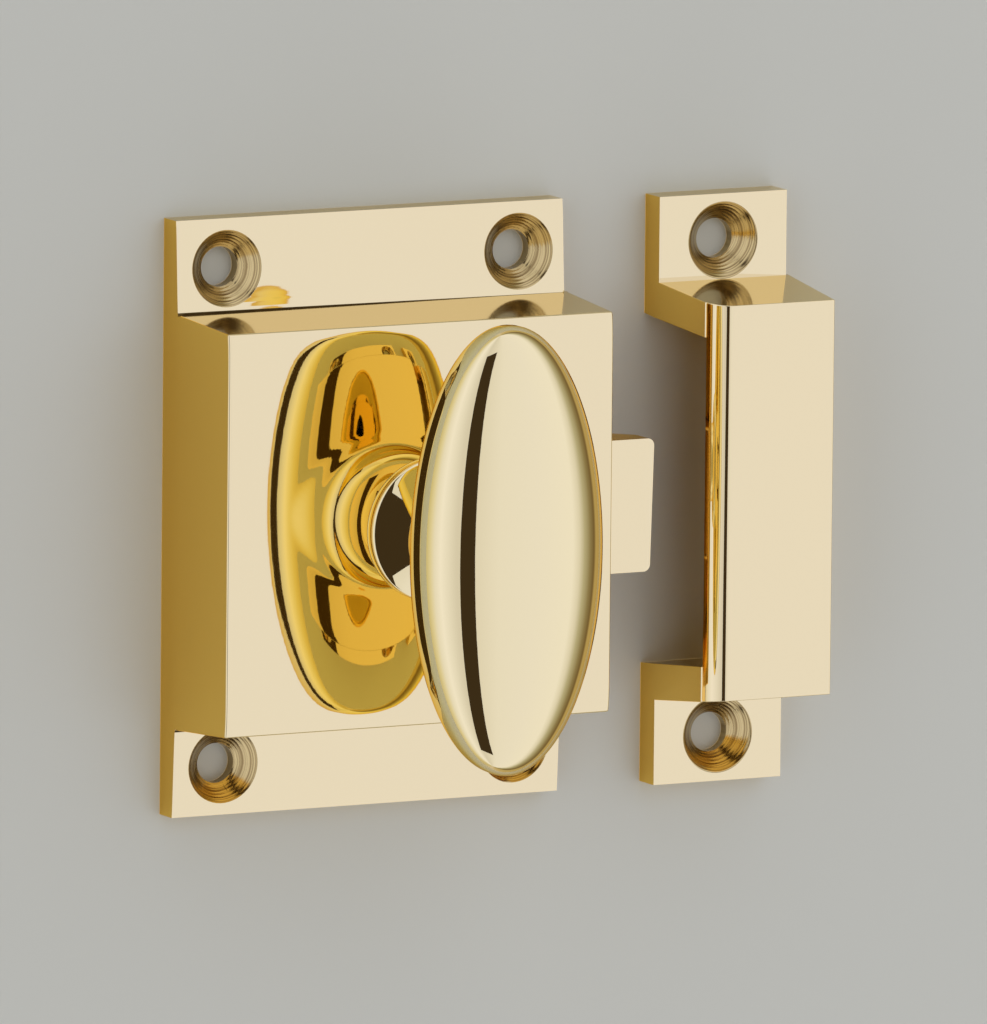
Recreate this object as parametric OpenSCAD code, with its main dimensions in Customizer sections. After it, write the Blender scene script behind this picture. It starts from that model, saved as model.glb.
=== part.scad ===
// Rim cabinet catch with an oval turn knob, and the box keep that its bolt
// shoots into. Polished cast brass, screwed to the face of a cupboard door.
//
// Frame: millimetres, +Z up, +X towards the keep. The wall or door face is the
// plane y = 0 and everything stands out from it towards -Y. The origin is the
// middle of the four screw holes of the case, on that plane. A "depth" below is
// a distance out from the plane, so it is minus y.

/* [Case] */
// Width of the case across the raised block
case_w = 46.6; // [44:0.1:60]
// Thickness of the screw flanges
plate_t = 3.4; // [2.6:0.1:4.2]
// Distance from the mounting plane to the flat front
case_d = 14.8; // [14:0.1:18]
// Height of the raised block where it meets the flanges
block_h = 44.5; // [42:0.1:56]
// How far the screw flanges stand out above and below the block
flange_h = 9.75; // [9:0.05:14]
// How far the top and bottom walls lean in by the front
wall_draft = 0.7; // [0:0.1:1.5]
// How far the side walls lean in by the front
side_draft = 0.4; // [0:0.1:0.8]
// How far the block sits below the middle of the plate
block_drop = 0.25; // [0:0.05:0.4]
// How much shorter the flanges are than the block, at the bolt's side
flange_short = 0.5; // [0:0.1:1]
// Thickness of the left and right walls
side_wall = 3.2; // [2.6:0.1:4]
// Thickness of the top and bottom walls
end_wall = 5.25; // [4.5:0.05:5.3]
// Thickness of the rails that guide the bolt's frame
rail_t = 2; // [1.4:0.1:2.4]
// How far the rails stand out from the front wall
rail_h = 7.8; // [6:0.1:8.4]

/* [Screw holes] */
// Distance between the case's screw holes, across
screw_dx = 34.8; // [30:0.1:36]
// From the case's screw holes to the ends of its flanges
screw_end = 5.35; // [4.6:0.05:5.6]
// Diameter of the holes
screw_hole_d = 4.3; // [3.5:0.1:4.6]
// Diameter of the countersinks at the face
csk_d = 8.2; // [7:0.1:8.4]
// Depth of the countersinks
csk_depth = 2.1; // [1.6:0.1:2.4]

/* [Knob] */
// Height of the oval
knob_h = 48; // [40:0.5:56]
// Width of the oval
knob_w = 21.4; // [20:0.2:28]
// From the rim of the oval to its crown
knob_front = 6.2; // [4:0.1:9]
// From the rim of the oval to its back
knob_back = 7; // [5:0.1:8]
// From the case's front to the rim of the oval
knob_reach = 17.3; // [16.5:0.1:22]
// Diameter of the flared foot
foot_d = 15.4; // [13:0.1:20]
// Thickness of the foot's rounded rim
foot_rim = 0.8; // [0.6:0.1:1.6]
// Slope of the foot's conical top, in degrees
foot_slope = 29; // [15:1:35]
// Diameter of the neck at its thinnest
neck_d = 9.6; // [8.6:0.1:11]
// Diameter of the collar between the neck and the cove
collar_d = 14; // [12:0.1:15]
// Radius of the cove between the collar and the back of the oval
cove_r = 5.5; // [4:0.1:6]
// How far the cove runs on into the back of the oval
cove_lap = 0.5; // [0.3:0.1:0.8]
// How far the spindle sits below the middle of the plate
spindle_drop = 0.8; // [0:0.1:1]
// How far the spindle sits towards the bolt from the middle of the plate
spindle_x = 1.6; // [1:0.1:3]

/* [Spindle and follower] */
// Diameter of the spindle in the case's front wall
journal_d = 7; // [6.4:0.1:7.6]
// Side of the spindle's square
square_a = 4.8; // [4:0.1:4.8]
// Diameter of the stud that screws into the knob
stud_d = 6; // [5:0.1:6.2]
// How far the stud reaches into the knob
stud_len = 9; // [6:0.5:12]
// How far the spindle's shoulder is let into the knob's foot
shoulder_seat = 1; // [0.5:0.1:1.5]
// Diameter of the spindle's rear end, which takes the nut
tail_d = 4; // [3.4:0.1:4.4]
// How far the rear end stays back from the mounting plane
tail_short = 0.2; // [0.1:0.1:0.5]
// Thickness of the follower
follower_t = 5; // [4:0.1:5.6]
// Diameter of the follower's hub
hub_d = 9; // [8.6:0.1:9.4]
// From the spindle's axis to the end of each follower arm
arm_len = 9.8; // [8.8:0.1:10]
// Width of the follower's arms
arm_w = 5.2; // [4.6:0.1:6]
// Corner radius at the arm ends
arm_round = 1.2; // [0.6:0.1:1.6]
// Thickness of the washer
washer_t = 0.6; // [0.4:0.1:0.8]
// Outside diameter of the washer
washer_d = 8; // [7:0.1:9]
// Thickness of the nut
nut_t = 2.8; // [2:0.1:3]
// Width of the nut across its flats
nut_af = 7; // [6:0.1:8]

/* [Latch bolt] */
// Height of the bolt's nose
nose_h = 14.4; // [12:0.1:16]
// Thickness of the bolt from front to back
nose_t = 7; // [5.5:0.1:7.4]
// From the case's front to the bolt's front
nose_setback = 3.2; // [2.6:0.1:4]
// How far the nose stands out of the case at rest
nose_throw = 6.3; // [5:0.1:7]
// Thickness of the nose's tip, in front of its bevel
nose_tip = 2.2; // [1.2:0.1:3]
// How much the lower corner of the tip is dressed back
nose_lean = 0.35; // [0:0.05:0.6]
// Corner radius of the nose's tip
nose_round = 0.8; // [0.3:0.1:1.5]
// Height of the bolt's frame inside the case
frame_h = 27; // [26.4:0.1:28]
// Height of the runners along the frame's top and bottom edges
runner_h = 2; // [1.4:0.1:2.2]
// Thickness of the frame's tail, which the follower pushes
tail_t = 5.8; // [5:0.1:6.2]
// How far the bolt sits below the middle of the plate
bolt_drop = 0.25; // [0:0.05:0.4]
// How far the turned knob draws the bolt back
bolt_travel = 6.2; // [5:0.1:6.2]
// Diameter of the pin that guides the spring
pin_d = 2.8; // [2:0.1:3]
// How far the guide pin stands out of the tail
pin_len = 6.4; // [4:0.1:6.6]
// How far the guide pin is screwed into the tail
pin_grip = 2.6; // [2:0.1:3]

/* [Bolt spring] */
// Outside diameter of the coil
spring_d = 5; // [4.4:0.1:5.6]
// Diameter of the wire
wire_d = 0.5; // [0.4:0.05:0.7]
// Number of turns
spring_turns = 8; // [5:1:9]
// Depth of the pocket in the wall that seats the coil
pocket_depth = 1; // [0.5:0.1:1.4]

/* [Rear cover] */
// Width of the cover plate
cover_w = 43; // [42.4:0.1:43.4]
// From the ends of the cover plate to the ends of the block
cover_edge = 1.25; // [1:0.05:1.6]
// Thickness of the cover plate
cover_t = 1.4; // [1.1:0.1:1.6]
// Distance between the cover's screws, across
cover_dx = 30; // [20:0.5:34]
// Diameter of the cover screws
cover_screw_d = 2; // [1.6:0.1:2.2]
// Diameter of the cover screws' heads
cover_head_d = 3.4; // [3:0.1:3.6]
// Length of the cover screws
cover_screw_len = 6; // [4:0.5:8]
// Width of the cover screws' slots
cover_slot_w = 0.6; // [0.4:0.1:0.8]
// Depth of the cover screws' slots
cover_slot_depth = 0.4; // [0.3:0.1:0.5]
// How far the cover screws' holes run on past them
drill_past = 0.4; // [0.2:0.1:1]

/* [Keep] */
// Gap between the case and the keep, as they are mounted
keep_gap = 11; // [7.5:0.25:20]
// Width of the keep
keep_w = 15.8; // [14:0.1:20]
// Distance from the mounting plane to the keep's flat front
keep_d = 14.5; // [14.2:0.1:18]
// Thickness of the keep's feet
keep_foot_t = 3.3; // [2.6:0.1:4.2]
// How far the feet stand out above and below the box
keep_foot_h = 9.25; // [9:0.05:14]
// How much narrower the feet are than the box
keep_foot_short = 0.4; // [0:0.1:1]
// Height of the keep's box where it meets the feet
keep_box_h = 45.2; // [40:0.1:56]
// How far the box's top and bottom lean in by the front
keep_draft = 1.25; // [0:0.05:2]
// How far the box's open side leans in by the front
keep_lean = 1; // [0:0.1:1.5]
// Thickness of the box's front, which is also the lip's radius
keep_front_t = 2.1; // [1.6:0.1:2.4]
// Thickness of the box's top and bottom at the mounting plane
keep_end_t = 3.6; // [2.6:0.1:5]
// Thickness of the box's closed side
keep_side_t = 2.4; // [1.6:0.1:4]
// From the keep's screw holes to the ends of its feet
keep_screw_end = 5.05; // [4.6:0.05:5.2]
// How far the keep sits below the middle of the plate
keep_drop = 0.25; // [0:0.05:1]

/* [Fits] */
// Radial running clearance of the spindle in its two bores
turn_fit = 0.05; // [0.02:0.01:0.1]
// Clearance all round the sliding bolt
slide_fit = 0.15; // [0.1:0.01:0.2]
// Clearance of parts that are screwed or set together
set_fit = 0.05; // [0.02:0.01:0.1]
// Gap under the knob's foot and in front of the follower
thrust_gap = 0.1; // [0.05:0.01:0.15]
// Free play between the follower and the bolt's tail at rest
follower_play = 0.3; // [0.2:0.05:0.4]
// Room kept round the follower's swing and the hub
swing_room = 0.4; // [0.3:0.05:0.5]

/* [Hidden] */
$fn = 96;
brass = [0.86, 0.72, 0.40];
raw_brass = [0.78, 0.64, 0.34];
steel = [0.72, 0.72, 0.70];
eps = 0.5;

case_x = case_w / 2;
case_h = block_h + 2 * flange_h;
screw_dz = case_h - 2 * screw_end;
cavity_h = block_h - 2 * end_wall;
cover_h = block_h - 2 * cover_edge;
cover_dz = (cavity_h + cover_h) / 2;
cover_head_t = (cover_head_d - cover_screw_d) / 2;
flange_right = case_x - flange_short;
spindle_z = -spindle_drop;
bolt_z = -bolt_drop;
bolt_front = case_d - nose_setback;
bolt_back = bolt_front - nose_t;
cavity_floor = bolt_front + slide_fit;
cavity_x = case_x - side_wall;
tip_x = case_x + nose_throw;
rail_back = cavity_floor - rail_h;
runner_back = cover_t + slide_fit;

follower_front = cavity_floor - thrust_gap;
follower_back = follower_front - follower_t;
washer_back = follower_back - washer_t;
nut_back = washer_back - nut_t;
tail_face = spindle_x - arm_w / 2 - follower_play;
tail_end = tail_face - tail_t;
swing_r = sqrt(arm_len * arm_len + arm_w * arm_w / 4) + swing_room;
window_right = spindle_x + bolt_travel + (arm_len + arm_w / 2) * sqrt(0.5) + 2 * swing_room;
frame_right = cavity_x - thrust_gap;
nose_root = frame_right - eps;
bolt_mid = (bolt_back + bolt_front) / 2;
knob_seat = case_d + thrust_gap;
knob_rim = case_d + knob_reach;
stud_end = knob_seat + stud_len;
shoulder_end = knob_seat + shoulder_seat;
pocket_x = -cavity_x - pocket_depth;

keep_x = case_x + keep_gap;
keep_h = keep_box_h + 2 * keep_foot_h;
keep_screw_dz = keep_h - 2 * keep_screw_end;
keep_z = -keep_drop;
keep_floor = keep_d - keep_front_t;

// A block between two x, two z and two depths
module slab(x0, x1, z0, z1, d0, d1)
    translate([x0, -d1, z0]) cube([x1 - x0, d1 - d0, z1 - z0]);

// A round bar or cone that stands out from the mounting plane
module boss(r0, r1, d0, d1, x = 0, z = 0)
    translate([x, -d0, z]) rotate([90, 0, 0]) cylinder(r1 = r0, r2 = r1, h = d1 - d0);

// A shape turned on an axis that stands out of the mounting plane: its
// children are a half outline with the radius across and the depth up
module turned(x = 0, z = 0)
    translate([x, 0, z]) rotate([90, 0, 0]) rotate_extrude() children();

// An outline of depth across and height up, drawn out from x0 to x1
module side_profile(x0, x1)
    translate([x1, 0, 0]) rotate([90, 0, -90]) linear_extrude(x1 - x0) children();

// An outline seen from above, x across and minus depth up, drawn out in height
module plan_profile(z0, z1)
    translate([0, 0, z0]) linear_extrude(z1 - z0) children();

// The same shape above and below a height
module above_and_below(z)
    translate([0, 0, z]) for (side = [0, 1])
        mirror([0, 0, side]) children();

// A countersunk hole through a flange of thickness t
module screw_hole(x, z, t) {
    boss(screw_hole_d / 2, screw_hole_d / 2, -eps, t + eps, x, z);
    boss(screw_hole_d / 2, csk_d / 2, t - csk_depth, t, x, z);
    boss(csk_d / 2, csk_d / 2, t, t + 0.02, x, z);
}

// A block with leaning walls, from the plane of the flanges out to the front
module drafted_block(x0, x1, z0, z1, d0, d1, lean_z, lean_left, lean_right)
    intersection() {
        side_profile(x0, x1)
            polygon([[0, z0], [d0, z0], [d1, z0 + lean_z], [d1, z1 - lean_z], [d0, z1], [0, z1]]);
        plan_profile(z0, z1)
            polygon([[x0, 0], [x0, -d0], [x0 + lean_left, -d1],
                     [x1 - lean_right, -d1], [x1, -d0], [x1, 0]]);
    }

// Case

module case_shell() {
    slab(-case_x, flange_right, -case_h / 2, case_h / 2, 0, plate_t);
    drafted_block(-case_x, case_x, -block_h / 2 - block_drop, block_h / 2 - block_drop,
                  plate_t, case_d, wall_draft, side_draft, side_draft);
}

// The hollow behind the front, with the seat that the cover drops into
module case_hollow() {
    slab(-cavity_x, cavity_x, bolt_z - cavity_h / 2, bolt_z + cavity_h / 2,
         cover_t - eps, cavity_floor);
    slab(-cover_w / 2 - set_fit, cover_w / 2 + set_fit,
         bolt_z - cover_h / 2 - set_fit, bolt_z + cover_h / 2 + set_fit, -eps, cover_t);
}

// Ribs inside the hollow that guide the bolt's frame above and below
module guide_rails()
    above_and_below(bolt_z)
        slab(-cavity_x - eps, cavity_x + eps, frame_h / 2 + slide_fit,
             frame_h / 2 + slide_fit + rail_t, rail_back, cavity_floor + eps);

module case_mouth()
    slab(cavity_x - eps, case_x + eps,
         bolt_z - nose_h / 2 - slide_fit, bolt_z + nose_h / 2 + slide_fit,
         bolt_back - slide_fit, bolt_front + slide_fit);

module spring_pocket()
    translate([pocket_x, -bolt_mid, bolt_z])
        rotate([0, 90, 0]) cylinder(d = spring_d + 4 * slide_fit, h = pocket_depth + eps);

module cover_screw_places()
    for (x = [-1, 1], z = [-1, 1])
        translate([x * cover_dx / 2, 0, bolt_z + z * cover_dz / 2]) children();

module case() color(brass)
    difference() {
        union() {
            difference() {
                case_shell();
                case_hollow();
            }
            guide_rails();
        }
        case_mouth();
        spring_pocket();
        boss(journal_d / 2 + turn_fit, journal_d / 2 + turn_fit,
             cavity_floor - eps, case_d + eps, spindle_x, spindle_z);
        for (x = [-1, 1], z = [-1, 1])
            screw_hole(x * screw_dx / 2, z * screw_dz / 2, plate_t);
        cover_screw_places()
            boss(cover_screw_d / 2 + set_fit, cover_screw_d / 2 + set_fit,
                 0, cover_screw_len + drill_past);
    }

// Rear cover: a flat sheet plate, set flush in the back of the case

module rear_cover() color(raw_brass)
    difference() {
        slab(-cover_w / 2, cover_w / 2, bolt_z - cover_h / 2, bolt_z + cover_h / 2, 0, cover_t);
        boss(tail_d / 2 + turn_fit, tail_d / 2 + turn_fit, -eps, cover_t + eps,
             spindle_x, spindle_z);
        cover_screw_places() {
            boss(cover_screw_d / 2 + set_fit, cover_screw_d / 2 + set_fit, -eps, cover_t + eps);
            boss(cover_head_d / 2 + set_fit, cover_screw_d / 2 + set_fit, 0, cover_head_t);
        }
    }

module cover_screws() color(raw_brass)
    cover_screw_places() difference() {
        union() {
            boss(cover_head_d / 2, cover_screw_d / 2, 0, cover_head_t);
            boss(cover_screw_d / 2, cover_screw_d / 2, 0, cover_screw_len);
        }
        slab(-cover_head_d, cover_head_d, -cover_slot_w / 2, cover_slot_w / 2,
             -eps, cover_slot_depth);
    }

// Knob: an oval crown on a turned neck, which flares to a foot on the case

// One half of the oval, either side of its rim
module half_oval(depth, front)
    translate([spindle_x, -knob_rim, spindle_z])
        scale([knob_w / 2, depth, knob_h / 2])
            intersection() {
                sphere(r = 1);
                translate([-1.5, front ? -1.5 : 0, -1.5]) cube([3, 1.5, 3]);
            }

// Neck and foot: radius across, depth up. The foot has a full round rim and a
// conical top. The neck rises straight from it to a collar with a round
// underside, and a cove flares the collar out to meet the back of the oval.
module neck_outline() {
    rim_r = foot_rim / 2;
    rim_x = foot_d / 2 - rim_r;
    neck_r = neck_d / 2;
    collar_r = collar_d / 2;
    cone_top = knob_seat + foot_rim + (rim_x - neck_r) * tan(foot_slope);
    flare_x = collar_r + cove_r * (1 - cos(45));
    out = 2 * flare_x / knob_w;
    flare_top = knob_rim - knob_back * sqrt(1 - out * out) + cove_lap;
    collar_depth = flare_top - cove_r * sin(45);
    translate([rim_x, knob_seat + rim_r]) circle(r = rim_r);
    polygon([[0, knob_seat], [rim_x, knob_seat], [rim_x, knob_seat + foot_rim],
             [neck_r, cone_top], [neck_r, collar_depth], [0, collar_depth]]);
    translate([neck_r, collar_depth]) circle(r = collar_r - neck_r);
    difference() {
        polygon([[0, collar_depth], [collar_r, collar_depth], [flare_x, collar_depth],
                 [flare_x, flare_top], [0, flare_top]]);
        translate([collar_r + cove_r, collar_depth]) circle(r = cove_r);
    }
}

module knob() color(brass)
    difference() {
        union() {
            half_oval(knob_front, true);
            half_oval(knob_back, false);
            turned(spindle_x, spindle_z) neck_outline();
        }
        boss(stud_d / 2 + set_fit, stud_d / 2 + set_fit, knob_seat - eps, stud_end + set_fit,
             spindle_x, spindle_z);
        boss(journal_d / 2 + set_fit, journal_d / 2 + set_fit, knob_seat - eps, shoulder_end,
             spindle_x, spindle_z);
    }

module spindle() color(steel) {
    boss(stud_d / 2, stud_d / 2, knob_seat, stud_end, spindle_x, spindle_z);
    boss(journal_d / 2, journal_d / 2, follower_front, shoulder_end, spindle_x, spindle_z);
    slab(spindle_x - square_a / 2, spindle_x + square_a / 2,
         spindle_z - square_a / 2, spindle_z + square_a / 2, follower_back, follower_front);
    boss(tail_d / 2, tail_d / 2, tail_short, follower_back, spindle_x, spindle_z);
}

// Follower: a hub with two arms, of which either one pushes the bolt's tail
module follower() color(raw_brass)
    translate([spindle_x, -follower_back, spindle_z])
        rotate([90, 0, 0]) linear_extrude(follower_t) difference() {
            union() {
                circle(d = hub_d);
                square([arm_w, 2 * (arm_len - arm_round)], center = true);
                square([arm_w - 2 * arm_round, 2 * arm_len], center = true);
                for (x = [-1, 1], y = [-1, 1])
                    translate([x * (arm_w / 2 - arm_round), y * (arm_len - arm_round)])
                        circle(r = arm_round);
            }
            square(square_a + 2 * set_fit, center = true);
        }

module follower_washer() color(steel)
    difference() {
        boss(washer_d / 2, washer_d / 2, washer_back, follower_back, spindle_x, spindle_z);
        boss(tail_d / 2 + set_fit, tail_d / 2 + set_fit, washer_back - eps, follower_back + eps,
             spindle_x, spindle_z);
    }

module follower_nut() color(raw_brass)
    translate([spindle_x, -nut_back, spindle_z]) rotate([90, 0, 0])
        difference() {
            cylinder(d = nut_af / cos(30), h = nut_t, $fn = 6);
            translate([0, 0, -eps]) cylinder(d = tail_d + 2 * set_fit, h = nut_t + 2 * eps);
        }

// Latch bolt

// Outline of the nose from the front, with round corners at its tip
module nose_front() {
    top = nose_h / 2;
    corner_x = tip_x - nose_round;
    polygon([[nose_root, -top], [corner_x - nose_lean, -top],
             [corner_x - nose_lean, -top + nose_round], [tip_x - nose_lean, -top + nose_round],
             [tip_x, top - nose_round], [corner_x, top - nose_round],
             [corner_x, top], [nose_root, top]]);
    translate([corner_x, top - nose_round]) circle(r = nose_round);
    translate([corner_x - nose_lean, -top + nose_round]) circle(r = nose_round);
}

// Outline of the bolt from above: flat in front, bevelled behind the tip
module nose_plan()
    polygon([[nose_root, -bolt_front], [tip_x, -bolt_front], [tip_x, -bolt_front + nose_tip],
             [tip_x - (nose_t - nose_tip), -bolt_back], [nose_root, -bolt_back]]);

module bolt_nose()
    intersection() {
        plan_profile(bolt_z - nose_h, bolt_z + nose_h) nose_plan();
        translate([0, -bolt_back, bolt_z])
            rotate([90, 0, 0]) linear_extrude(nose_t) nose_front();
    }

module latch_bolt() color(brass)
    difference() {
        union() {
            slab(tail_end, frame_right, bolt_z - frame_h / 2, bolt_z + frame_h / 2,
                 bolt_back, bolt_front);
            above_and_below(bolt_z)
                slab(tail_end, frame_right, frame_h / 2 - runner_h, frame_h / 2,
                     runner_back, bolt_front);
            bolt_nose();
        }
        slab(tail_face, window_right, spindle_z - swing_r, spindle_z + swing_r,
             bolt_back - eps, bolt_front + eps);
        boss(hub_d / 2 + swing_room, hub_d / 2 + swing_room, bolt_back - eps, bolt_front + eps,
             spindle_x, spindle_z);
        translate([tail_end - eps, -bolt_mid, bolt_z])
            rotate([0, 90, 0]) cylinder(d = pin_d + 2 * set_fit, h = eps + pin_grip);
    }

module guide_pin() color(steel)
    translate([tail_end - pin_len, -bolt_mid, bolt_z])
        rotate([0, 90, 0]) cylinder(d = pin_d, h = pin_len + pin_grip);

// Coil spring between the pocket in the wall and the bolt's tail

module bolt_spring() {
    sides = 8;
    steps = spring_turns * 12;
    mean_r = (spring_d - wire_d) / 2;
    length = tail_end - pocket_x - wire_d - 2 * set_fit;
    rings = [for (i = [0:steps]) let (t = i / steps, a = 360 * spring_turns * t)
        [for (j = [0:sides - 1]) let (b = 360 * j / sides, r = mean_r + wire_d / 2 * cos(b))
            [t * length + wire_d / 2 * sin(b), r * cos(a), r * sin(a)]]];
    points = [for (ring = rings) each ring];
    faces = [
        [for (j = [0:sides - 1]) j],
        [for (j = [sides - 1:-1:0]) steps * sides + j],
        for (i = [0:steps - 1], j = [0:sides - 1]) let (k = (j + 1) % sides)
            [i * sides + k, i * sides + j, (i + 1) * sides + j, (i + 1) * sides + k]
    ];
    color(steel) translate([pocket_x + wire_d / 2 + set_fit, -bolt_mid, bolt_z])
        polyhedron(points = points, faces = faces, convexity = 6);
}

// Keep: one casting, two screw feet and a box that is open towards the bolt

module keep_lip()
    translate([keep_x + keep_lean, -keep_floor, keep_z - keep_h / 2]) difference() {
        translate([-keep_lean - eps, -keep_front_t - eps, 0])
            cube([keep_front_t + keep_lean + eps, keep_front_t + eps, keep_h]);
        translate([keep_front_t, 0, -eps]) cylinder(r = keep_front_t, h = keep_h + 2 * eps);
    }

// The box's hollow, with ends that lean as the outside does
module keep_hollow() {
    bottom = keep_z - keep_box_h / 2 + keep_end_t;
    top = keep_z + keep_box_h / 2 - keep_end_t;
    side_profile(keep_x - eps, keep_x + keep_w - keep_side_t)
        polygon([[-eps, bottom], [keep_floor, bottom + keep_draft],
                 [keep_floor, top - keep_draft], [-eps, top]]);
}

module keep() color(brass)
    difference() {
        union() {
            slab(keep_x, keep_x + keep_w - keep_foot_short,
                 keep_z - keep_h / 2, keep_z + keep_h / 2, 0, keep_foot_t);
            drafted_block(keep_x, keep_x + keep_w,
                          keep_z - keep_box_h / 2, keep_z + keep_box_h / 2,
                          keep_foot_t, keep_d, keep_draft, keep_lean, side_draft);
        }
        keep_hollow();
        keep_lip();
        for (side = [-1, 1])
            screw_hole(keep_x + (keep_w - keep_foot_short) / 2,
                       keep_z + side * keep_screw_dz / 2, keep_foot_t);
    }

case();
rear_cover();
cover_screws();
knob();
spindle();
follower();
follower_washer();
follower_nut();
latch_bolt();
guide_pin();
bolt_spring();
keep();
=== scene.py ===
import math

import bmesh
import bpy
from mathutils import Matrix, Vector


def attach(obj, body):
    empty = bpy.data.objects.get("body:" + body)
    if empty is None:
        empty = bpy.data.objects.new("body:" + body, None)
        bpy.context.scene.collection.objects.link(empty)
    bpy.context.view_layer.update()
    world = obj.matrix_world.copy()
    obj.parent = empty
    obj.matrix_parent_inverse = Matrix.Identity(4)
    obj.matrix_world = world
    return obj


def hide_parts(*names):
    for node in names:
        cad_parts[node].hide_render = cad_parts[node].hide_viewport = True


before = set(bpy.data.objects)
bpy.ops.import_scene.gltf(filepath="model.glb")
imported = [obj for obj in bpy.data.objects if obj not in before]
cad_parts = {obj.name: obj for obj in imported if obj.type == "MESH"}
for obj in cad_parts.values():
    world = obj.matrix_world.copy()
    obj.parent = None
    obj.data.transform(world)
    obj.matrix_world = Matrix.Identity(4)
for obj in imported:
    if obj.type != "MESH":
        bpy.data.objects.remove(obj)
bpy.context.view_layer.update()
MM = 0.001


# Camera: a long lens in front of the board, a little to the left of the
# catch and a little above it, as in a shop's product picture.

look_at = Vector((16.34, 0, -1.84)) * MM
camera_distance = 2500 * MM
camera_azimuth = math.radians(-27.36)
camera_elevation = math.radians(8.37)
camera_roll = math.radians(0.56)

back = Vector((math.sin(camera_azimuth) * math.cos(camera_elevation),
               -math.cos(camera_azimuth) * math.cos(camera_elevation),
               math.sin(camera_elevation)))
level_right = Vector((math.cos(camera_azimuth), math.sin(camera_azimuth), 0))
level_up = back.cross(level_right)
right = math.cos(camera_roll) * level_right + math.sin(camera_roll) * level_up
up = back.cross(right)
lens = bpy.data.cameras.new("camera")
lens.sensor_width = 36
lens.lens = 821.8
lens.clip_start, lens.clip_end = 0.1, 20
camera = bpy.data.objects.new("camera", lens)
camera.matrix_world = Matrix.Translation(look_at + back * camera_distance) @ \
    Matrix((right, up, back)).transposed().to_4x4()
bpy.context.scene.collection.objects.link(camera)
bpy.context.scene.camera = camera
bpy.context.scene.view_settings.view_transform = "Standard"


# Board: a plain painted panel, which the catch and its keep lie flat on. Its
# back is see-through, so that the hidden side of the catch can be looked at.

board_left, board_right, board_half_height = -90 * MM, 110 * MM, 150 * MM
board_gap = 0.02 * MM
board_colour = "#D0CFC4"


def linear(code):
    parts = [int(code[i:i + 2], 16) / 255 for i in (1, 3, 5)]
    return [*(p / 12.92 if p <= 0.04045 else ((p + 0.055) / 1.055) ** 2.4 for p in parts), 1]


def add(tree, kind, inputs=None, **settings):
    node = tree.nodes.new(kind)
    for name, value in settings.items():
        setattr(node, name, value)
    for socket, value in (inputs or {}).items():
        if isinstance(value, bpy.types.NodeSocket):
            tree.links.new(value, node.inputs[socket])
        else:
            node.inputs[socket].default_value = value
    return node


def new_material(name):
    material = bpy.data.materials.new(name)
    material.use_nodes = True
    material.node_tree.nodes.clear()
    return material, material.node_tree


def new_piece(name, bm, *materials):
    mesh = bpy.data.meshes.new(name)
    bm.to_mesh(mesh)
    bm.free()
    piece = bpy.data.objects.new(name, mesh)
    bpy.context.scene.collection.objects.link(piece)
    for material in materials:
        mesh.materials.append(material)
    return piece


# Eggshell paint, rolled on: flat and even, with a very faint mottle.
painted_board, tree = new_material("eggshell_paint")
place = add(tree, "ShaderNodeTexCoord")
mottle = add(tree, "ShaderNodeTexNoise", {"Vector": place.outputs["Object"], "Scale": 1 / (3 * MM),
                                          "Detail": 3.0})
grain = add(tree, "ShaderNodeBump", {"Height": mottle.outputs[0], "Strength": 0.15,
                                     "Distance": 0.05 * MM})
paint = add(tree, "ShaderNodeBsdfPrincipled", {"Base Color": linear(board_colour),
                                               "Roughness": 0.75, "Normal": grain.outputs[0]})
clear = add(tree, "ShaderNodeBsdfTransparent")
path = add(tree, "ShaderNodeLightPath")
side = add(tree, "ShaderNodeNewGeometry")
touching = add(tree, "ShaderNodeMath", {0: path.outputs["Ray Length"], 1: 0.1 * MM},
               operation="LESS_THAN")
open_back = add(tree, "ShaderNodeMath", {0: touching.outputs[0], 1: side.outputs["Backfacing"]},
                operation="MAXIMUM")
either = add(tree, "ShaderNodeMixShader", {0: open_back.outputs[0], 1: paint.outputs[0],
                                           2: clear.outputs[0]})
add(tree, "ShaderNodeOutputMaterial", {"Surface": either.outputs[0]})

bm = bmesh.new()
bmesh.ops.create_grid(bm, x_segments=1, y_segments=1, size=1.0)
bmesh.ops.scale(bm, vec=((board_right - board_left) / 2, board_half_height, 1), verts=bm.verts)
bmesh.ops.transform(bm, matrix=Matrix.Translation(((board_left + board_right) / 2, board_gap, 0))
                    @ Matrix.Rotation(math.pi / 2, 4, "X"), verts=bm.verts)
board = new_piece("board", bm, painted_board)


# Light: a round tent of white cloth all round the board, lit from outside, with
# a tall slit that the camera looks in through. Polished brass shows the slit as
# a dark line between two broad pale bands. The cloth is whitest at the left and
# right. Beside and behind the board it is dimmer and takes a warm tint.

tent_radius = 1.2
slit_middle, slit_half = math.radians(-28.7), math.radians(8.2)
slit_top, slit_bottom = math.radians(54), math.radians(-66)
tent_white = (0.888, 0.905, 0.973)
cloth_light = ((-180, 0.75, 0.66, 0.5), (-126, 0.66, 0.58, 0.32), (-108, 0.72, 0.64, 0.38),
               (-96, 0.86, 0.80, 0.56), (-84, 0.94, 0.93, 0.88), (-69, 1.05, 1.05, 1.07),
               (-54, 0.93, 0.93, 0.92), (-41, 0.80, 0.79, 0.76), (-20, 0.88, 0.87, 0.84),
               (0, 0.96, 0.96, 0.96), (27, 0.98, 0.98, 1.0), (58, 1.02, 1.02, 1.02),
               (66, 0.85, 0.84, 0.78), (73, 0.55, 0.53, 0.38), (83, 0.32, 0.27, 0.14),
               (92, 0.20, 0.14, 0.06), (97, 0.56, 0.45, 0.20), (130, 0.62, 0.50, 0.25),
               (180, 0.75, 0.66, 0.5))
brightest = 1.1

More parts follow.
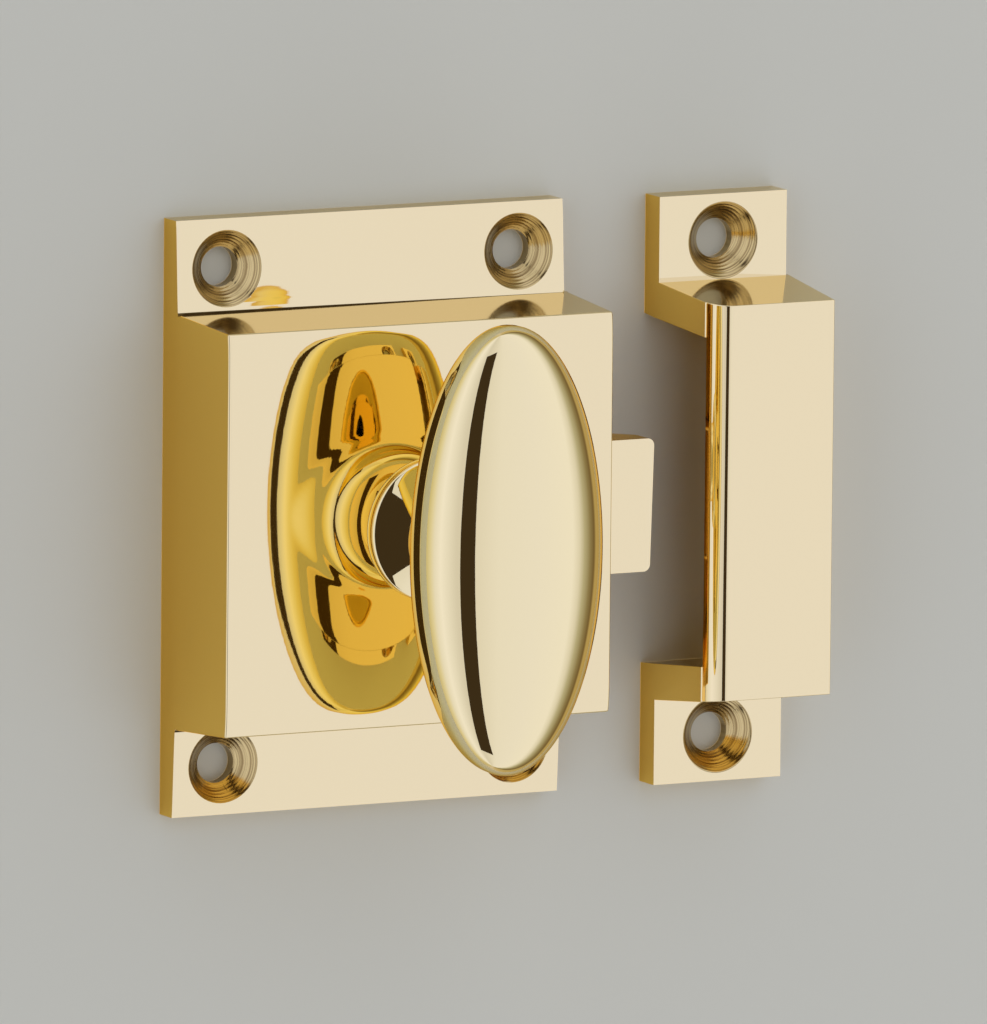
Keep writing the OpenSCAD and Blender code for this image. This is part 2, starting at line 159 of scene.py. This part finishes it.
tent_cloth, tree = new_material("tent_cloth")
place = add(tree, "ShaderNodeTexCoord")
parts = add(tree, "ShaderNodeSeparateXYZ", {0: place.outputs["Object"]})
out = add(tree, "ShaderNodeMath", {0: parts.outputs["Y"], 1: -1.0}, operation="MULTIPLY")
angle = add(tree, "ShaderNodeMath", {0: parts.outputs["X"], 1: out.outputs[0]},
            operation="ARCTAN2")
along = add(tree, "ShaderNodeMapRange", {"Value": angle.outputs[0], "From Min": -math.pi,
                                         "From Max": math.pi})
ramp = add(tree, "ShaderNodeValToRGB", {"Fac": along.outputs[0]})
stops = ramp.color_ramp.elements
for i, (degrees, *light) in enumerate(cloth_light):
    last = i == len(cloth_light) - 1
    stop = stops[0] if i == 0 else stops[-1] if last else stops.new((degrees + 180) / 360)
    stop.color = [*(part * white / brightest for part, white in zip(light, tent_white)), 1]
even = [*(part / brightest for part in tent_white), 1]
path = add(tree, "ShaderNodeLightPath")
seen = add(tree, "ShaderNodeMix", {"Factor": path.outputs["Is Diffuse Ray"],
                                   "A": ramp.outputs["Color"], "B": even}, data_type="RGBA")
glow = add(tree, "ShaderNodeEmission", {"Color": seen.outputs["Result"], "Strength": brightest})
add(tree, "ShaderNodeOutputMaterial", {"Surface": glow.outputs[0]})

bm = bmesh.new()
bmesh.ops.create_uvsphere(bm, u_segments=48, v_segments=24, radius=tent_radius)
slit_out = Vector((math.sin(slit_middle), -math.cos(slit_middle), 0))
slit_across = Vector((math.cos(slit_middle), math.sin(slit_middle), 0))
slit_reach = tent_radius * math.sin(slit_half)
for point, direction in ((slit_across * slit_reach, slit_across),
                         (-slit_across * slit_reach, slit_across),
                         ((0, 0, tent_radius * math.sin(slit_top)), (0, 0, 1)),
                         ((0, 0, tent_radius * math.sin(slit_bottom)), (0, 0, 1))):
    bmesh.ops.bisect_plane(bm, geom=[*bm.verts, *bm.edges, *bm.faces], plane_co=point,
                           plane_no=direction, dist=0.01 * MM)


def in_slit(face):
    middle = face.calc_center_median()
    return abs(middle.dot(slit_across)) < slit_reach and middle.dot(slit_out) > 0 \
        and tent_radius * math.sin(slit_bottom) < middle.z < tent_radius * math.sin(slit_top)


bmesh.ops.delete(bm, geom=[f for f in bm.faces if in_slit(f)], context="FACES")
tent = new_piece("light_tent", bm, tent_cloth)
tent.visible_camera = False

# The room outside the tent is dim. The camera itself sees it pale all round.
room_dim, room_pale = "#3D3222", "#C4C3BE"
world = bpy.data.worlds.new("room")
bpy.context.scene.world = world
world.use_nodes = True
tree = world.node_tree
tree.nodes.clear()
path = add(tree, "ShaderNodeLightPath")
tone = add(tree, "ShaderNodeMix", {"Factor": path.outputs["Is Camera Ray"], "A": linear(room_dim),
                                   "B": linear(room_pale)}, data_type="RGBA")
sky = add(tree, "ShaderNodeBackground", {"Color": tone.outputs["Result"], "Strength": 1.0})
add(tree, "ShaderNodeOutputWorld", {"Surface": sky.outputs[0]})


# Case: one brass casting with drafted walls and two screw flanges. It is
# linished flat, drilled and countersunk, and then buffed all over, which rolls
# its edges a little.

front_round = 0.45 * MM
flange_round = 0.25 * MM
rim_round = 0.12 * MM
root_fillet = 0.22 * MM
plate_depth, front_depth = 3.4 * MM, 14.8 * MM
block_top, block_bottom = 22.0 * MM, -22.5 * MM
wall_draft = 0.7 * MM
front_top, front_bottom = block_top - wall_draft, block_bottom + wall_draft
front_left, front_right = -22.9 * MM, 22.9 * MM
flange_end = 31 * MM
flange_taper, flange_reach = math.tan(math.radians(2.8)), 9.75 * MM
flange_dip, dip_reach = 0.06 * MM, 0.8 * MM
end_roll, side_roll, roll_reach = 0.25 * MM, 0.03 * MM, 1.1 * MM
sink_x, sink_z, sink_wall, sink_rim = 17.4 * MM, 26.65 * MM, 4.2 * MM, 4.3 * MM
spindle_x, spindle_z = 1.6 * MM, -0.8 * MM
cutter_step = 0.3 * MM
near, flat_on = 0.01 * MM, 0.999


def brass_surface(tree, bright, deep, hidden, edge, roughness_front, roughness_side):
    """Buffed brass, smoothest on the fronts. Its colour holds painted light: palest on the fronts,
    a painted highlight tone, and deeper on the walls and the backs, a painted shade tone.
    """
    place = add(tree, "ShaderNodeTexCoord")
    facing = add(tree, "ShaderNodeSeparateXYZ", {0: place.outputs["Normal"]})
    square_on = add(tree, "ShaderNodeMapRange", {"Value": facing.outputs["Y"], "From Min": -0.05,
                                                 "From Max": -0.6},
                    interpolation_type="SMOOTHSTEP")
    behind = add(tree, "ShaderNodeMapRange", {"Value": facing.outputs["Y"], "From Min": 0.1,
                                              "From Max": 0.6}, interpolation_type="SMOOTHSTEP")
    smudge = add(tree, "ShaderNodeTexNoise", {"Vector": place.outputs["Object"],
                                              "Scale": 1 / (6 * MM), "Detail": 3.0})
    # Painted light: faces turned to the front take the pale lit tone, the walls and the backs
    # darker painted shade tones.
    outside = add(tree, "ShaderNodeMix", {"Factor": square_on.outputs[0], "A": linear(deep),
                                          "B": linear(bright)}, data_type="RGBA")
    colour = add(tree, "ShaderNodeMix", {"Factor": behind.outputs[0],
                                         "A": outside.outputs["Result"],
                                         "B": linear(hidden)}, data_type="RGBA")
    base_rough = add(tree, "ShaderNodeMapRange", {"Value": square_on.outputs[0],
                                                  "To Min": roughness_side,
                                                  "To Max": roughness_front})
    rough = add(tree, "ShaderNodeMath", {0: smudge.outputs[0], 1: 0.02, 2: base_rough.outputs[0]},
                operation="MULTIPLY_ADD")
    stretched = add(tree, "ShaderNodeMapping", {"Vector": place.outputs["Object"],
                                                "Scale": (1 / (0.25 * MM), 1 / (0.25 * MM),
                                                          1 / (12 * MM))})
    lines = add(tree, "ShaderNodeTexNoise", {"Vector": stretched.outputs[0], "Scale": 1.0,
                                             "Detail": 2.0})
    line_bump = add(tree, "ShaderNodeBump", {"Height": lines.outputs[0], "Strength": 1.0,
                                             "Distance": 0.0003 * MM})
    wave = add(tree, "ShaderNodeTexNoise", {"Vector": place.outputs["Object"],
                                            "Scale": 1 / (14 * MM), "Detail": 0.0})
    wave_bump = add(tree, "ShaderNodeBump", {"Height": wave.outputs[0], "Strength": 1.0,
                                             "Distance": 0.02 * MM,
                                             "Normal": line_bump.outputs[0]})
    metal = add(tree, "ShaderNodeBsdfPrincipled", {"Base Color": colour.outputs["Result"],
                                                   "Metallic": 1.0, "Specular Tint": linear(edge),
                                                   "Roughness": rough.outputs[0],
                                                   "Normal": wave_bump.outputs[0]})
    add(tree, "ShaderNodeOutputMaterial", {"Surface": metal.outputs[0]})


# Cast yellow brass, mirror buffed. The wheel meets the fronts square on, so they are sharper than
# the walls. The fronts are also painted paler, a painted highlight tone, and the walls a deeper
# gold, a painted shade tone. The wheel's lines are drawn 0.25 mm apart, coarser than real, so that
# they show.
polished_brass_painted_light, tree = new_material("polished_cast_brass_painted_light")
brass_surface(tree, "#F6E4BB", "#F8CE6C", "#F8CE6C", "#F6E2B0", 0.015, 0.12)

# The faces that look up, such as the ledges in the inner corners: a greyer painted tone for the
# grazing reflection that they show, and softer.
upward_faces_painted_grey, tree = new_material("upward_faces_painted_grey_brass")
brass_surface(tree, "#F0DDAE", "#F0DDAE", "#F0DDAE", "#F2ECDC", 0.03, 0.08)

# The line where a flange meets a wall, painted a dark brown with a faint mottle, so that it reads
# as a thin dark line.
dark_corner_strip, tree = new_material("dark_brown_corner_strip")
place = add(tree, "ShaderNodeTexCoord")
skin = add(tree, "ShaderNodeTexNoise", {"Vector": place.outputs["Object"], "Scale": 1 / (2 * MM)})
colour = add(tree, "ShaderNodeMix", {"Factor": skin.outputs[0], "A": linear("#4A3A22"),
                                     "B": linear("#6E5A36")}, data_type="RGBA")
metal = add(tree, "ShaderNodeBsdfPrincipled", {"Base Color": colour.outputs["Result"],
                                               "Metallic": 1.0, "Roughness": 0.4})
add(tree, "ShaderNodeOutputMaterial", {"Surface": metal.outputs[0]})


def turned_surface(tree, centre, pitch):
    """Fresh cut metal with rings round a hole's axis, which stands out along Y."""
    place = add(tree, "ShaderNodeTexCoord")
    folded = add(tree, "ShaderNodeVectorMath", {0: place.outputs["Object"]}, operation="ABSOLUTE")
    moved = add(tree, "ShaderNodeVectorMath", {0: folded.outputs[0], 1: centre},
                operation="SUBTRACT")
    flat = add(tree, "ShaderNodeVectorMath", {0: moved.outputs[0], 1: (1, 0, 1)},
               operation="MULTIPLY")
    radius = add(tree, "ShaderNodeVectorMath", {0: flat.outputs[0]}, operation="LENGTH")
    wobble = add(tree, "ShaderNodeTexNoise", {"Vector": place.outputs["Object"],
                                              "Scale": 1 / (2 * MM)})
    phase = add(tree, "ShaderNodeMath", {0: radius.outputs["Value"], 1: 2 * math.pi / pitch,
                                         2: wobble.outputs[0]}, operation="MULTIPLY_ADD")
    ring = add(tree, "ShaderNodeMath", {0: phase.outputs[0]}, operation="SINE")
    bump = add(tree, "ShaderNodeBump", {"Height": ring.outputs[0], "Strength": 1.0,
                                        "Distance": 0.004 * MM})
    ringed = add(tree, "ShaderNodeCombineXYZ", {"X": phase.outputs[0], "Y": wobble.outputs[0]})
    streaks = add(tree, "ShaderNodeTexNoise", {"Vector": ringed.outputs[0], "Scale": 0.3,
                                               "Detail": 3.0})
    spread = add(tree, "ShaderNodeMapRange", {"Value": streaks.outputs[0], "From Min": 0.35,
                                              "From Max": 0.65})
    colour = add(tree, "ShaderNodeMix", {"Factor": spread.outputs[0], "A": linear("#E2CB96"),
                                         "B": linear("#9A8259")}, data_type="RGBA")
    metal = add(tree, "ShaderNodeBsdfPrincipled", {"Base Color": colour.outputs["Result"],
                                                   "Metallic": 1.0, "Roughness": 0.18,
                                                   "Normal": bump.outputs[0]})
    add(tree, "ShaderNodeOutputMaterial", {"Surface": metal.outputs[0]})


# The countersinks are cut after the first polish, so they show the cutter's
# rings and stay duller than the faces. The rings are coarser than real.
case_sinks, tree = new_material("countersunk_brass_case")
turned_surface(tree, (sink_x, 0, sink_z), cutter_step)


def copied(node):
    """A merged copy of a CAD node's mesh, with its flat faces whole again."""
    bm = bmesh.new()
    bm.from_mesh(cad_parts[node].data)
    bmesh.ops.remove_doubles(bm, verts=bm.verts, dist=0.0005 * MM)
    bmesh.ops.dissolve_limit(bm, angle_limit=math.radians(0.2), verts=bm.verts, edges=bm.edges)
    return bm


def soften(bm, wanted, radius, segments, outside=True):
    """Rounds the sharp outside edges, or fills the inside ones, that pass the test."""
    edges = [e for e in bm.edges if e.is_manifold and e.is_convex == outside
             and e.calc_face_angle() > math.radians(30) and wanted(*(v.co for v in e.verts))]
    bmesh.ops.bevel(bm, geom=edges, offset=radius, offset_type="OFFSET", affect="EDGES",
                    segments=segments, profile=0.5, material=-1, clamp_overlap=True)


def shade(piece):
    """Smooth shading that keeps flat faces flat and sharp edges sharp."""
    bm = bmesh.new()
    bm.from_mesh(piece.data)
    for face in bm.faces:
        face.smooth = True
    for edge in bm.edges:
        edge.smooth = not edge.is_manifold or edge.calc_face_angle() < math.radians(35)
    bm.to_mesh(piece.data)
    bm.free()


def keep_flats(piece):
    """Lets the large flat faces set the shading at their rounded edges."""
    weights = piece.modifiers.new("flat_faces_stay_flat", "WEIGHTED_NORMAL")
    weights.weight = 90
    weights.keep_sharp = True


def in_sink(p, radius=sink_rim):
    return math.hypot(abs(p.x) - sink_x, abs(p.z) - sink_z) < radius


def score(bm, faces, point, direction):
    """Scores a straight line across some faces, so that they can be curved there."""
    faces = [f for f in faces if f.is_valid]
    edges = {e for f in faces for e in f.edges}
    verts = {v for f in faces for v in f.verts}
    bmesh.ops.bisect_plane(bm, geom=[*faces, *edges, *verts], plane_co=point,
                           plane_no=direction, dist=0.0001 * MM)


def flat_at(bm, depth):
    return [f for f in bm.faces if f.normal.y < -flat_on
            and abs(f.calc_center_median().y + depth) < near]


bm = copied("case")
for inward in (0.8, 1.2, 1.7, 2.3, 3.1, 4.2, 5.8):
    for point, direction in (((0, 0, front_top - inward * MM), (0, 0, 1)),
                             ((0, 0, front_bottom + inward * MM), (0, 0, 1)),
                             ((front_left + inward * MM, 0, 0), (1, 0, 0)),
                             ((front_right - inward * MM, 0, 0), (1, 0, 0))):
        score(bm, flat_at(bm, front_depth), point, direction)
for outward in (0.5, 1.0, 1.6, 2.4, 3.6, 5.5, 7.5, 8.7, 9.2):
    score(bm, flat_at(bm, plate_depth), (0, 0, block_top + outward * MM), (0, 0, 1))
    score(bm, flat_at(bm, plate_depth), (0, 0, block_bottom - outward * MM), (0, 0, 1))


def near_bore(p):
    return math.hypot(p.x - spindle_x, p.z - spindle_z) < 6 * MM


def on_plate(p):
    return abs(p.y + plate_depth) < near


def block_edge(a, b):
    on_front = all(p.y < -front_depth + near and not near_bore(p) for p in (a, b))
    upright = abs(a.y - b.y) > 5 * MM and min(a.y, b.y) < -front_depth + near \
        and all(abs(p.z) > 20 * MM for p in (a, b))
    return on_front or upright


def flange_edge(a, b):
    level = all(on_plate(p) and not in_sink(p) for p in (a, b))
    corner = abs(a.y - b.y) > 3 * MM and all(abs(p.z) > flange_end for p in (a, b))
    return level or corner


def root_edge(a, b):
    return all(on_plate(p) and 20 * MM < abs(p.z) < 23 * MM for p in (a, b))


def sink_edge(a, b):
    return all(abs(p.y + plate_depth) < 0.05 * MM and in_sink(p) for p in (a, b))


soften(bm, root_edge, root_fillet, 3, outside=False)
soften(bm, block_edge, front_round, 5)
soften(bm, flange_edge, flange_round, 3)
soften(bm, sink_edge, rim_round, 2)

# The wheel rolls the front over towards its edges, most at the top and the
# bottom. It thins the flanges towards their ends and dips at their two borders.
for v in bm.verts:
    if v.co.y < -front_depth + 1 * MM:
        for room, roll in ((front_top - v.co.z, end_roll), (v.co.z - front_bottom, end_roll),
                           (v.co.x - front_left, side_roll), (front_right - v.co.x, side_roll)):
            v.co.y += roll * math.exp(-max(0, room) / roll_reach)
    elif -plate_depth - near < v.co.y < -plate_depth + 1.4 * MM:
        from_wall = max(v.co.z - block_top, block_bottom - v.co.z, 0)
        v.co.y += flange_taper * from_wall - flange_dip * math.exp(-from_wall / dip_reach) \
            + flange_dip * math.exp(-(flange_reach - from_wall) / dip_reach)
# The sink walls get the cutter's rings, faces that look up get a painted grey tone for their
# grazing reflection, and the slanted strip at a flange's root is painted dark brown.
for face in bm.faces:
    middle = face.calc_center_median()
    slanting = -0.99 < face.normal.y < -0.1 and abs(face.normal.x) < 0.1 \
        and abs(face.normal.z) > 0.1
    if in_sink(middle, sink_wall) and abs(face.normal.y) < 0.98:
        face.material_index = 1
    elif face.normal.z > 0.9:
        face.material_index = 2
    elif slanting and 21 * MM < abs(middle.z) < 23.5 * MM \
            and abs(middle.y + plate_depth) < 0.3 * MM:
        face.material_index = 3
case = new_piece("catch_case", bm, polished_brass_painted_light, case_sinks, upward_faces_painted_grey, dark_corner_strip)
shade(case)
keep_flats(case)
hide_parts("case")
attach(case, "root")


# Rear cover with its four slotted screws, and the follower with its nut: sheet,
# screw and bar brass, left plain because they lie against the door or inside.

# Brass as rolled and machined: a soft, dull shine with fine lines along X, drawn
# coarser than real, and a light uneven tarnish.
plain_brass, tree = new_material("plain_rolled_brass")
place = add(tree, "ShaderNodeTexCoord")
rolled = add(tree, "ShaderNodeMapping", {"Vector": place.outputs["Object"],
                                         "Scale": (1 / (8 * MM), 1 / (0.3 * MM), 1 / (0.3 * MM))})
lines = add(tree, "ShaderNodeTexNoise", {"Vector": rolled.outputs[0], "Scale": 1.0,
                                         "Detail": 3.0})
tarnish = add(tree, "ShaderNodeTexNoise", {"Vector": place.outputs["Object"],
                                           "Scale": 1 / (9 * MM), "Detail": 4.0})
colour = add(tree, "ShaderNodeMix", {"Factor": tarnish.outputs[0], "A": linear("#D8BE82"),
                                     "B": linear("#B99C60")}, data_type="RGBA")
rough = add(tree, "ShaderNodeMapRange", {"Value": lines.outputs[0], "To Min": 0.25,
                                         "To Max": 0.42})
bump = add(tree, "ShaderNodeBump", {"Height": lines.outputs[0], "Strength": 1.0,
                                    "Distance": 0.002 * MM})
metal = add(tree, "ShaderNodeBsdfPrincipled", {"Base Color": colour.outputs["Result"],
                                               "Metallic": 1.0, "Roughness": rough.outputs[0],
                                               "Normal": bump.outputs[0]})
add(tree, "ShaderNodeOutputMaterial", {"Surface": metal.outputs[0]})

for node in ("rear_cover", "cover_screws", "follower", "follower_nut"):
    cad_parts[node].data.materials.clear()
    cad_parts[node].data.materials.append(plain_brass)


# Knob: one casting, turned on its foot, neck and collar and then shaped by hand
# to a tall oval crown, which flows into the collar through a cove.

seat, rim = 14.9 * MM, 32.1 * MM
crown_rise, back_rise, girdle = 6.2 * MM, 5.4 * MM, 1.6 * MM
half_width, half_height = 10.7 * MM, 24.0 * MM
foot_radius, foot_edge, neck_radius = 7.7 * MM, 0.4 * MM, 4.3 * MM
cone_slope = math.radians(29)
collar_radius, collar_depth = 7.3 * MM, 23.8 * MM
cove_radius, cove_blend = 2.7 * MM, 3.6 * MM
cove_width = cove_radius * (1 - math.cos(math.radians(45)))
stud_bore, stud_end = 3.05 * MM, 23.9 * MM
shoulder_bore, shoulder_end = 3.55 * MM, 15.9 * MM
around, back_rings, crown_rings = 128, 48, 30

rings = [(stud_bore, stud_bore, stud_end), (stud_bore, stud_bore, shoulder_end),
         (shoulder_bore, shoulder_bore, shoulder_end), (shoulder_bore, shoulder_bore, seat),
         (6 * MM, 6 * MM, seat)]
foot_middle = foot_radius - foot_edge
for i in range(13):
    a = math.radians(-90) + i / 12 * (math.pi - cone_slope)
    r = foot_middle + foot_edge * math.cos(a)
    rings.append((r, r, seat + foot_edge + foot_edge * math.sin(a)))
r0, d0 = rings[-1][0], rings[-1][2]
cone_top = d0 + (r0 - neck_radius) * math.tan(cone_slope)
for i in range(1, 9):
    r = r0 + (neck_radius - r0) * i / 8
    rings.append((r, r, d0 + (cone_top - d0) * i / 8))
for i in range(13):
    a = math.radians(-90 + 7.5 * i)
    r = neck_radius + (collar_radius - neck_radius) * math.cos(a)
    rings.append((r, r, collar_depth + (collar_radius - neck_radius) * math.sin(a)))


def back_depth(x, z):
    """How deep the knob's back lies: a steep girdle, a domed back and the collar's cove."""
    outward = math.hypot(x / half_width, z / half_height)
    if outward > 0.9999:
        return rim
    oval = rim - girdle * (1 - outward ** 8) ** (1 / 8) - back_rise * math.sqrt(1 - outward ** 2)
    from_collar = max(0.0, math.hypot(x, z) - collar_radius)
    room = cove_radius - min(from_collar, cove_width)
    past = max(0.0, from_collar - cove_width)
    cove = collar_depth + math.sqrt(cove_radius ** 2 - room ** 2) \
        + past + past ** 3 / (2 * MM ** 2)
    blend = min(cove_blend, max(from_collar, 0.001 * MM))
    return min(oval, cove) - max(0.0, blend - abs(oval - cove)) ** 2 / (4 * blend)


bm = bmesh.new()
first = bmesh.ops.create_circle(bm, cap_ends=True, segments=around, radius=rings[0][0])
turn = Matrix.Rotation(math.pi / 2, 4, "X")
bmesh.ops.transform(bm, matrix=Matrix.Translation((spindle_x, -rings[0][2], spindle_z)) @ turn,
                    verts=first["verts"])
loop = list(bm.edges)


def next_ring(bm, loop, before, after):
    """Draws the open edge out to the next ring, given as two half widths and a depth."""
    made = bmesh.ops.extrude_edge_only(bm, edges=loop)["geom"]
    verts = [g for g in made if isinstance(g, bmesh.types.BMVert)]
    middle = Vector((spindle_x, 0, spindle_z))
    bmesh.ops.scale(bm, vec=(after[0] / before[0], 1, after[1] / before[1]), verts=verts,
                    space=Matrix.Translation(-middle))
    bmesh.ops.translate(bm, vec=(0, before[2] - after[2], 0), verts=verts)
    return [g for g in made if isinstance(g, bmesh.types.BMEdge)], verts


for before, after in zip(rings, rings[1:]):
    loop, verts = next_ring(bm, loop, before, after)

# From the collar to the rim the rings open out from round to oval, and each
# point of them lies on the knob's back.
before = (collar_radius, collar_radius, collar_depth)
for i in range(1, back_rings + 1):
    open_out = (1 - math.cos(math.pi * i / back_rings)) / 2
    after = (collar_radius + (half_width - collar_radius) * open_out,
             collar_radius + (half_height - collar_radius) * open_out, collar_depth)
    loop, verts = next_ring(bm, loop, before, after)
    before = after
    for v in verts:
        v.co.y = -back_depth(v.co.x - spindle_x, v.co.z - spindle_z)

# The crown is one half of an ellipsoid in front of the rim.
before = (half_width, half_height, rim)
for i in range(1, crown_rings):
    a = math.radians(90 * i / crown_rings)
    after = (half_width * math.cos(a), half_height * math.cos(a), rim + crown_rise * math.sin(a))
    loop, verts = next_ring(bm, loop, before, after)
    before = after
tip = bmesh.ops.extrude_edge_only(bm, edges=loop)["geom"]
tip = [g for g in tip if isinstance(g, bmesh.types.BMVert)]
bmesh.ops.pointmerge(bm, verts=tip, merge_co=(spindle_x, -rim - crown_rise, spindle_z))
bmesh.ops.recalc_face_normals(bm, faces=bm.faces)

# The knob is buffed by hand all round. Its colour holds painted light: as pale at its sides as on
# its crown, a painted highlight tone, and a yellower painted shade on its back.
hand_buffed_brass_painted_light, tree = new_material("hand_buffed_brass_painted_light")
brass_surface(tree, "#F8E8BE", "#FDEFB4", "#FFE57C", "#E8C478", 0.012, 0.02)
knob = new_piece("oval_knob", bm, hand_buffed_brass_painted_light)
shade(knob)
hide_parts("knob")
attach(knob, "knob_body")


# Spindle, washer, guide pin and spring: bright steel, turned from bar or drawn
# to wire. They are hidden inside the case.

# Turned steel: pale grey, with small marks that blur what it reflects. They are
# coarser than real.
bright_steel, tree = new_material("bright_turned_steel")
place = add(tree, "ShaderNodeTexCoord")
marks = add(tree, "ShaderNodeTexNoise", {"Vector": place.outputs["Object"],
                                         "Scale": 1 / (0.4 * MM), "Detail": 3.0})
rough = add(tree, "ShaderNodeMapRange", {"Value": marks.outputs[0], "To Min": 0.2, "To Max": 0.35})
bump = add(tree, "ShaderNodeBump", {"Height": marks.outputs[0], "Strength": 1.0,
                                    "Distance": 0.002 * MM})
metal = add(tree, "ShaderNodeBsdfPrincipled", {"Base Color": linear("#BDBBB6"), "Metallic": 1.0,
                                               "Roughness": rough.outputs[0],
                                               "Normal": bump.outputs[0]})
add(tree, "ShaderNodeOutputMaterial", {"Surface": metal.outputs[0]})

for node in ("spindle", "follower_washer", "guide_pin", "bolt_spring"):
    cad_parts[node].data.materials.clear()
    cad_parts[node].data.materials.append(bright_steel)


# Latch bolt: a brass casting, milled to slide in the case. Its nose is
# polished with the case and its edges are just broken.

nose_round = 0.2 * MM
bm = copied("latch_bolt")
soften(bm, lambda a, b: True, nose_round, 2)
bolt = new_piece("sliding_bolt", bm, polished_brass_painted_light)
shade(bolt)
keep_flats(bolt)
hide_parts("latch_bolt")
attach(bolt, "bolt_body")


# Keep: the box that the bolt shoots into, one casting with two screw feet and
# a rounded lip that the nose rides over as the door shuts.

keep_round = 0.45 * MM
foot_round = 0.3 * MM
foot_depth = 3.3 * MM
keep_sink_x, keep_sink_z, keep_middle = 42.0 * MM, 26.8 * MM, -0.25 * MM
keep_sinks, tree = new_material("countersunk_brass_keep")
turned_surface(tree, (keep_sink_x, 0, keep_sink_z), cutter_step)

# The lip is a round that a file has flattened. It lies a little inside a quarter
# circle and turns more sharply at its two ends.
lip_x, lip_depth, lip_radius, lip_fullness = 37.4 * MM, 12.4 * MM, 2.1 * MM, 1.4

bm = copied("keep")
for v in bm.verts:
    across, out = (lip_x - v.co.x) / lip_radius, (-v.co.y - lip_depth) / lip_radius
    if across > 0.001 and out > 0.001 and abs(math.hypot(across, out) - 1) < 0.02:
        fit = (across ** lip_fullness + out ** lip_fullness) ** (-1 / lip_fullness)
        v.co.x, v.co.y = lip_x - fit * across * lip_radius, -lip_depth - fit * out * lip_radius


def near_sink(p, radius=4.6 * MM):
    return math.hypot(p.x - keep_sink_x, abs(p.z - keep_middle) - keep_sink_z) < radius


def standing_out(a, b):
    return all(p.y < -1 * MM and not near_sink(p) for p in (a, b))


def box_edge(a, b):
    along_lip = abs(a.x - b.x) < near and a.x < lip_x + 0.2 * MM and abs(a.z - b.z) > 1 * MM
    return standing_out(a, b) and max(abs(a.y), abs(b.y)) > foot_depth + 1 * MM and not along_lip


def keep_foot_edge(a, b):
    return standing_out(a, b) and max(abs(a.y), abs(b.y)) < foot_depth + 0.05 * MM


def keep_sink_edge(a, b):
    return all(abs(p.y + foot_depth) < 0.05 * MM and near_sink(p) for p in (a, b))


soften(bm, box_edge, keep_round, 4)
soften(bm, keep_foot_edge, foot_round, 3)
soften(bm, keep_sink_edge, rim_round, 2)
# The sink walls get the cutter's rings, and faces that look up get a painted grey tone for their
# grazing reflection.
for face in bm.faces:
    middle = face.calc_center_median()
    if near_sink(middle, sink_wall) and abs(face.normal.y) < 0.98:
        face.material_index = 1
    elif face.normal.z > 0.9:
        face.material_index = 2
keep = new_piece("box_keep", bm, polished_brass_painted_light, keep_sinks, upward_faces_painted_grey)
shade(keep)
keep_flats(keep)
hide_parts("keep")
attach(keep, "root")


bpy.context.view_layer.update()
